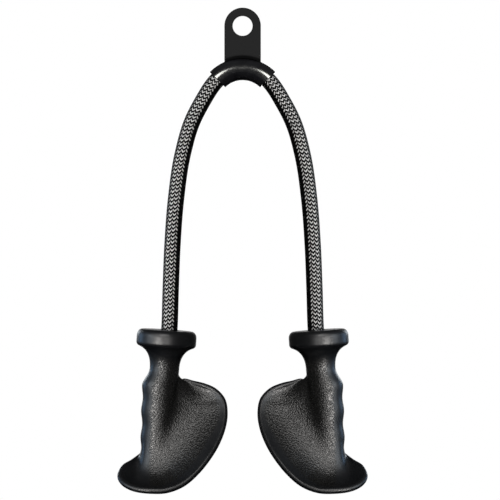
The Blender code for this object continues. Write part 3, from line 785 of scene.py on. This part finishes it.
def build_handle(label, side, material):
    stations = rim_stations()
    lines, grains = [], []
    for column in range(HANDLE_COLUMNS):
        row, slope = closed_spline(stations, column * len(stations) / HANDLE_COLUMNS)
        lines.append(handle_column(row, slope, HANDLE_ROWS) + handle_bore(row[0]))
        grain = grain_of(row, HANDLE_ROWS)
        grains.append(grain + [0] * (len(lines[-1]) - len(grain)))
    rings = np.array(lines).transpose(1, 0, 2)
    cosine, sine = math.cos(HANDLE_TILT), math.sin(HANDLE_TILT)
    turned = rings.copy()
    turned[:, :, 0] = (rings[:, :, 0] * cosine + rings[:, :, 2] * sine + HANDLE_TOP.x) * side
    turned[:, :, 2] = rings[:, :, 2] * cosine - rings[:, :, 0] * sine + HANDLE_TOP.z
    handle = loft(f"grip_moulding_{label}", turned, material, flip=side < 0)
    add_attribute(handle, "grain", np.array(grains).T)
    return handle


# Materials


class Nodes:
    """Short calls for building a material's node tree. Scales are per metre."""

    def __init__(self, name, roughness, metallic=0.0, specular=0.5):
        self.material = bpy.data.materials.new(name)
        self.material.use_nodes = True
        self.tree = self.material.node_tree
        self.shader = self.tree.nodes["Principled BSDF"]
        self.shader.inputs["Roughness"].default_value = roughness
        self.shader.inputs["Metallic"].default_value = metallic
        self.shader.inputs["Specular IOR Level"].default_value = specular
        self.place = self.tree.nodes.new("ShaderNodeTexCoord").outputs["Object"]

    def link(self, source, target):
        """Feeds a socket with another one, or with a colour."""
        if isinstance(source, tuple):
            target.default_value = (*source, 1)
        else:
            self.tree.links.new(source, target)

    def multiply(self, first, second):
        node = self.tree.nodes.new("ShaderNodeMath")
        node.operation = "MULTIPLY"
        self.link(first, node.inputs[0])
        self.link(second, node.inputs[1])
        return node.outputs[0]

    def noise(self, scale, detail=NOISE_DETAIL):
        node = self.tree.nodes.new("ShaderNodeTexNoise")
        node.inputs["Scale"].default_value = scale
        node.inputs["Detail"].default_value = detail
        node.inputs["Roughness"].default_value = NOISE_ROUGHNESS
        self.link(self.place, node.inputs["Vector"])
        return node.outputs["Fac"]

    def cells(self, scale, place):
        """Distance from the nearest of points scattered in the given coordinates."""
        node = self.tree.nodes.new("ShaderNodeTexVoronoi")
        node.inputs["Scale"].default_value = scale
        self.link(place, node.inputs["Vector"])
        return node.outputs["Distance"]

    def wander(self, scale, reach):
        """Object coordinates shifted by noise, so that what is laid over them looks less regular."""
        noise = self.tree.nodes.new("ShaderNodeTexNoise")
        noise.inputs["Scale"].default_value = scale
        self.link(self.place, noise.inputs["Vector"])
        shift = self.tree.nodes.new("ShaderNodeVectorMath")
        shift.operation = "MULTIPLY_ADD"
        self.link(noise.outputs["Color"], shift.inputs[0])
        shift.inputs[1].default_value = (reach,) * 3
        self.link(self.place, shift.inputs[2])
        return shift.outputs[0]

    def span(self, value, within, to):
        """Carries a value's range over to another one, and holds it there."""
        node = self.tree.nodes.new("ShaderNodeMapRange")
        for name, number in zip(("From Min", "From Max", "To Min", "To Max"), (*within, *to)):
            node.inputs[name].default_value = number
        self.link(value, node.inputs["Value"])
        return node.outputs["Result"]

    def mix(self, share, first, second, kind="RGBA"):
        """Goes from the first to the second. kind is RGBA for colours and FLOAT for numbers."""
        node = self.tree.nodes.new("ShaderNodeMix")
        node.data_type = kind
        for source, name in ((share, "Factor"), (first, "A"), (second, "B")):
            self.link(source, node.inputs[name])
        return node.outputs["Result"]

    def ramp(self, value, within, colors):
        return self.mix(self.span(value, within, to=(0, 1)), *colors)

    def attribute(self, name):
        node = self.tree.nodes.new("ShaderNodeAttribute")
        node.attribute_name = name
        return node.outputs["Fac"]

    def bump(self, height, strength, distance, below=None):
        node = self.tree.nodes.new("ShaderNodeBump")
        node.inputs["Strength"].default_value = strength
        node.inputs["Distance"].default_value = distance
        self.link(height, node.inputs["Height"])
        if below:
            self.link(below, node.inputs["Normal"])
        return node.outputs["Normal"]

    def finish(self, color=None, roughness=None, normal=None):
        for source, name in ((color, "Base Color"), (roughness, "Roughness"), (normal, "Normal")):
            if source is not None:
                self.link(source, self.shader.inputs[name])
        return self.material


def black_paint():
    """Stoved black paint over steel, with a faint orange peel and dull patches."""
    nodes = Nodes("black_paint_finish", roughness=0.16, specular=1.0)
    patches = nodes.noise(scale=90)
    peel = nodes.noise(scale=900, detail=2)
    specks = nodes.noise(scale=420, detail=6)
    colors = ((0.0020, 0.0020, 0.0026), (0.0050, 0.0050, 0.0062))
    color = nodes.ramp(patches, within=(0.3, 0.75), colors=colors)
    roughness = nodes.span(specks, within=NOISE_SPAN, to=(0.12, 0.19))
    normal = nodes.bump(peel, strength=0.12, distance=0.12 * MM)
    return nodes.finish(color, roughness, normal)


def moulded_grip():
    """Black self-skinned urethane: smooth at its edges, with a glinting leather grain where it is held;
    lighter specks in its colour are painted glints.
    """
    nodes = Nodes("moulded_grip_finish", roughness=0.46, specular=1.0)
    grain = nodes.attribute("grain")
    pebbles = nodes.cells(scale=640, place=nodes.wander(scale=420, reach=0.7 * MM))
    fine = nodes.noise(scale=1500, detail=3)
    broad = nodes.noise(scale=38, detail=3)
    # Painted glints: lighter specks in the grain's colour.
    painted_glint_specks = nodes.span(nodes.noise(scale=1050, detail=2), within=(0.42, 0.66), to=(0, 1))
    plain_colors = ((0.0035, 0.0042, 0.0055), (0.0050, 0.0058, 0.0075))
    plain = nodes.ramp(broad, within=NOISE_SPAN, colors=plain_colors)
    grained = nodes.mix(painted_glint_specks, (0.0025, 0.0025, 0.0025), (0.0140, 0.0135, 0.0125))
    color = nodes.mix(grain, plain, grained)
    glints = nodes.span(nodes.noise(scale=900, detail=2), within=(0.35, 0.65), to=(0.21, 0.45))
    satin = nodes.span(nodes.noise(scale=120), within=NOISE_SPAN, to=(0.34, 0.42))
    roughness = nodes.mix(grain, satin, glints, kind="FLOAT")
    domes = nodes.multiply(nodes.span(pebbles, within=(0, 0.7), to=(1, 0)), grain)
    skin = nodes.bump(fine, strength=0.12, distance=0.1 * MM)
    normal = nodes.bump(domes, strength=0.7, distance=0.35 * MM, below=skin)
    return nodes.finish(color, roughness, normal)


def braided_yarn():
    """Black polyester braid with white strands, with painted shade darkening the hollows between its
    floats.
    """
    nodes = Nodes("braided_yarn_finish", roughness=0.6, specular=0.12)
    # White yarn, faded towards the rope's inner side and outer edge as painted shade.
    white = nodes.attribute("white_yarn_with_painted_shade")
    crown = nodes.attribute("crown")
    fibres = nodes.noise(scale=3200, detail=3)
    black_colors = ((0.0010, 0.0010, 0.0012), (0.0040, 0.0040, 0.0045))
    black = nodes.ramp(fibres, within=NOISE_SPAN, colors=black_colors)
    pale = nodes.ramp(fibres, within=(0.25, 0.7), colors=((0.68, 0.68, 0.68), (0.88, 0.88, 0.87)))
    color = nodes.mix(white, black, pale)
    # Painted shade: the colour darkens towards black where the float's crown is low, in the hollows.
    depth = nodes.span(crown, within=(0, 0.6), to=(0.15, 1))
    shaded = nodes.mix(depth, (0.001, 0.001, 0.001), color)
    normal = nodes.bump(fibres, strength=0.3, distance=0.1 * MM)
    return nodes.finish(shaded, normal=normal)


def bare_metal(name, roughness, scale, detail, colors, rough_span):
    """Bare metal whose colour and roughness change with the same streaks."""
    nodes = Nodes(name, roughness, metallic=1.0)
    streaks = nodes.noise(scale, detail)
    color = nodes.ramp(streaks, NOISE_SPAN, colors)
    return nodes.finish(color, nodes.span(streaks, NOISE_SPAN, to=rough_span))


def zinc_steel():
    return bare_metal(
        "zinc_steel_finish",
        roughness=0.32,
        scale=260,
        detail=5,
        colors=((0.42, 0.43, 0.46), (0.62, 0.62, 0.60)),
        rough_span=(0.24, 0.42),
    )


def ferrule_aluminium():
    return bare_metal(
        "ferrule_aluminium_finish",
        roughness=0.36,
        scale=500,
        detail=6,
        colors=((0.62, 0.62, 0.63), (0.78, 0.78, 0.79)),
        rough_span=(0.28, 0.45),
    )


def plug_plastic():
    nodes = Nodes("plug_plastic_finish", roughness=0.5, specular=0.4)
    grain = nodes.noise(scale=900)
    colors = ((0.012, 0.012, 0.013), (0.022, 0.022, 0.023))
    color = nodes.ramp(grain, within=NOISE_SPAN, colors=colors)
    return nodes.finish(color, normal=nodes.bump(grain, strength=0.3, distance=0.1 * MM))


# Stage


def seen_ray(tree):
    """1 for camera, glossy and transmission rays."""
    path = tree.nodes.new("ShaderNodeLightPath")
    total = path.outputs["Is Camera Ray"]
    for kind in ("Is Glossy Ray", "Is Transmission Ray"):
        node = tree.nodes.new("ShaderNodeMath")
        node.operation = "MAXIMUM"
        tree.links.new(total, node.inputs[0])
        tree.links.new(path.outputs[kind], node.inputs[1])
        total = node.outputs[0]
    return total


def stage_material(name):
    """A pale matte surface whose own glow, which only seen rays meet, keeps the object's shadow visible.

    Towards its rim it turns into the plain white of the world.
    """
    material = bpy.data.materials.new(name)
    material.use_nodes = True
    tree = material.node_tree
    tree.nodes.clear()
    output = tree.nodes.new("ShaderNodeOutputMaterial")
    seen = seen_ray(tree)

    glow = tree.nodes.new("ShaderNodeEmission")
    glow.inputs["Color"].default_value = (FLOOR_GLOW, FLOOR_GLOW, FLOOR_GLOW, 1)
    tree.links.new(seen, glow.inputs["Strength"])
    matte = tree.nodes.new("ShaderNodeBsdfDiffuse")
    matte.inputs["Color"].default_value = (FLOOR_WHITE, FLOOR_WHITE, FLOOR_WHITE, 1)
    both = tree.nodes.new("ShaderNodeAddShader")
    tree.links.new(matte.outputs[0], both.inputs[0])
    tree.links.new(glow.outputs[0], both.inputs[1])
    white = tree.nodes.new("ShaderNodeEmission")
    tree.links.new(seen, white.inputs["Strength"])

    place = tree.nodes.new("ShaderNodeTexCoord")
    flat = tree.nodes.new("ShaderNodeVectorMath")
    flat.operation = "MULTIPLY"
    flat.inputs[1].default_value = (1, 1, 0)
    tree.links.new(place.outputs["Object"], flat.inputs[0])
    reach = tree.nodes.new("ShaderNodeVectorMath")
    reach.operation = "LENGTH"
    tree.links.new(flat.outputs[0], reach.inputs[0])
    fade = tree.nodes.new("ShaderNodeMapRange")
    fade.interpolation_type = "SMOOTHSTEP"
    fade.inputs["From Min"].default_value = FLOOR_FADE[0] * FLOOR_RADIUS
    fade.inputs["From Max"].default_value = FLOOR_FADE[1] * FLOOR_RADIUS
    tree.links.new(reach.outputs["Value"], fade.inputs["Value"])

    surface = tree.nodes.new("ShaderNodeMixShader")
    tree.links.new(fade.outputs["Result"], surface.inputs[0])
    tree.links.new(both.outputs[0], surface.inputs[1])
    tree.links.new(white.outputs[0], surface.inputs[2])
    tree.links.new(surface.outputs[0], output.inputs["Surface"])
    return material


def make_world():
    """White to the camera. Other rays meet a white backdrop behind the object and a dim room elsewhere."""
    world = bpy.data.worlds.new("studio")
    bpy.context.scene.world = world
    world.use_nodes = True
    tree = world.node_tree
    background = tree.nodes["Background"]
    background.inputs["Color"].default_value = (1, 1, 1, 1)
    path = tree.nodes.new("ShaderNodeLightPath")
    place = tree.nodes.new("ShaderNodeTexCoord")
    axes = tree.nodes.new("ShaderNodeSeparateXYZ")
    tree.links.new(place.outputs["Generated"], axes.inputs[0])
    backdrop = tree.nodes.new("ShaderNodeMapRange")
    backdrop.interpolation_type = "SMOOTHSTEP"
    backdrop.inputs["From Min"].default_value = BACKDROP_EDGE
    backdrop.inputs["From Max"].default_value = BACKDROP_FULL
    backdrop.inputs["To Min"].default_value = ROOM_LEVEL
    tree.links.new(axes.outputs["Y"], backdrop.inputs["Value"])
    level = tree.nodes.new("ShaderNodeMath")
    level.operation = "MAXIMUM"
    tree.links.new(path.outputs["Is Camera Ray"], level.inputs[0])
    tree.links.new(backdrop.outputs["Result"], level.inputs[1])
    tree.links.new(level.outputs[0], background.inputs["Strength"])


def make_light(name, towards, target, size, level, lit, color=(1, 1, 1)):
    """A round soft box. level is about how bright it makes a white surface that faces it at the target."""
    azimuth, elevation = (math.radians(angle) for angle in towards)
    flat = math.cos(elevation)
    away = Vector((-math.sin(azimuth) * flat, -math.cos(azimuth) * flat, math.sin(elevation)))
    data = bpy.data.lights.new(name, "AREA")
    data.shape = "DISK"
    data.size = size
    data.energy = level * (math.pi * LIGHT_DISTANCE) ** 2
    data.color = color
    light = bpy.data.objects.new(name, data)
    light.location = target + away * LIGHT_DISTANCE
    light.rotation_euler = away.to_track_quat("Z", "Y").to_euler()
    light.light_linking.receiver_collection = lit
    bpy.context.scene.collection.objects.link(light)


def lit_pieces(name, endings):
    """A collection of the pieces whose names have one of the endings, for soft boxes to light."""
    lit = bpy.data.collections.new(f"lit_{name}")
    for piece in bpy.context.scene.objects:
        if piece.type == "MESH" and piece.name.endswith(endings):
            lit.objects.link(piece)
    return lit


def stage_disc(name, radius, level, material):
    rim = [2 * math.pi * step / FLOOR_SIDES for step in range(FLOOR_SIDES)]
    corners = [(radius * math.cos(turn), radius * math.sin(turn), level) for turn in rim]
    disc = make_mesh(name, corners, [tuple(range(FLOOR_SIDES))], material)
    return disc


def make_card(level):
    """A black card on the floor, met by reflections only, that keeps the black paint's lower side dark."""
    black = Nodes("card", roughness=1.0, specular=0.0).finish(color=(0, 0, 0))
    card = stage_disc("black_card", CARD_RADIUS, level, black)
    card.visible_camera = False
    card.visible_shadow = False
    card.visible_diffuse = False
    card.visible_transmission = False


def make_stage():
    level = cad_box[0].z - FLOOR_DROP
    stage_disc("floor", FLOOR_RADIUS, level, stage_material("pale_floor"))
    make_card(level + CARD_LIFT)
    make_world()
    tube, plate = lit_pieces("tube", ("tube_painted",)), lit_pieces("plate", ("plate_painted",))
    for label, side in SIDES:
        lit = {"arm": lit_pieces(label, (f"_{label}",)), "tube": tube, "plate": plate}
        target = Vector((-LIGHT_TARGET[0] * side, 0, LIGHT_TARGET[1]))
        for name, group, azimuth, elevation, size, strength, color in SOFT_BOXES:
            towards = (azimuth * side, elevation)
            make_light(f"{name}_{label}", towards, target, size, strength, lit[group], color)
    middle = Vector((0, 0, LIGHT_TARGET[1]))
    floor = lit_pieces("floor", ("floor",))
    make_light("overhead", OVERHEAD_TOWARDS, middle, OVERHEAD_SIZE, OVERHEAD_LEVEL, floor)


# The pieces and their places in the frame


def add_bracket(material):
    tube = build_guide_tube(material)
    plate = build_hanger_plate(material)
    for piece, node in ((tube, "guide_tube"), (plate, "hanger_plate")):
        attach(piece, "hanger")
        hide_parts(node)


def add_rope(label, side, line, material):
    """One half of the rope: in the tube, along the arm in three stretches, and in the handle."""
    mouth, top = line.mouth, line.top
    upper_end, lower_start = mouth + UPPER_STRETCH, top - LOWER_STRETCH
    crown, _ = braided_rope(f"braid_crown_{label}", line, 0, mouth, side, material)
    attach(crown, "hanger")
    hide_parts("rope_crown")
    upper, _ = braided_rope(f"braid_upper_{label}", line, mouth, upper_end, side, material)
    middle, path = braided_rope(f"braid_middle_{label}", line, upper_end, lower_start, side, material)
    lower, _ = braided_rope(f"braid_lower_{label}", line, lower_start, top, side, material)
    tail, _ = braided_rope(f"braid_tail_{label}", line, top, line.along[-1], side, material)
    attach(tail, f"rope_end_{label}")
    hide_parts(f"rope_tail_{label}")
    bends = [
        (upper, "upper", "hanger", "upper_rope", mouth, upper_end),
        (middle, "middle", "upper_rope", "middle_rope", upper_end, upper_end + SWAY_STRETCH),
        (lower, "lower", "middle_rope", "rope_end", lower_start, top),
    ]
    for piece, stretch, above, below, start, end in bends:
        ends = rope_place(line, np.array([start, end]))
        ends[:, 0] *= side
        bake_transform(piece)
        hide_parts(f"rope_{stretch}_{label}")


def add_handle(label, side, material):
    handle = build_handle(label, side, material)
    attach(handle, f"grip_{label}")
    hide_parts(f"handle_{label}")


def main():
    make_camera()
    paint, grip, yarn = black_paint(), moulded_grip(), braided_yarn()
    steel, aluminium, plastic = zinc_steel(), ferrule_aluminium(), plug_plastic()
    line = rope_line()
    add_bracket(paint)
    for label, side in SIDES:
        add_rope(label, side, line, yarn)
        add_handle(label, side, grip)
        inner = (
            ("thrust_washer", steel),
            ("core_tube", steel),
            ("end_ferrule", aluminium),
            ("end_plug", plastic),
        )
        for node, material in inner:
            frame["nodes"][f"{node}_{label}"].data.materials.clear()
            frame["nodes"][f"{node}_{label}"].data.materials.append(material)
    make_stage()


main()
bpy.context.scene.view_settings.view_transform = "Standard"
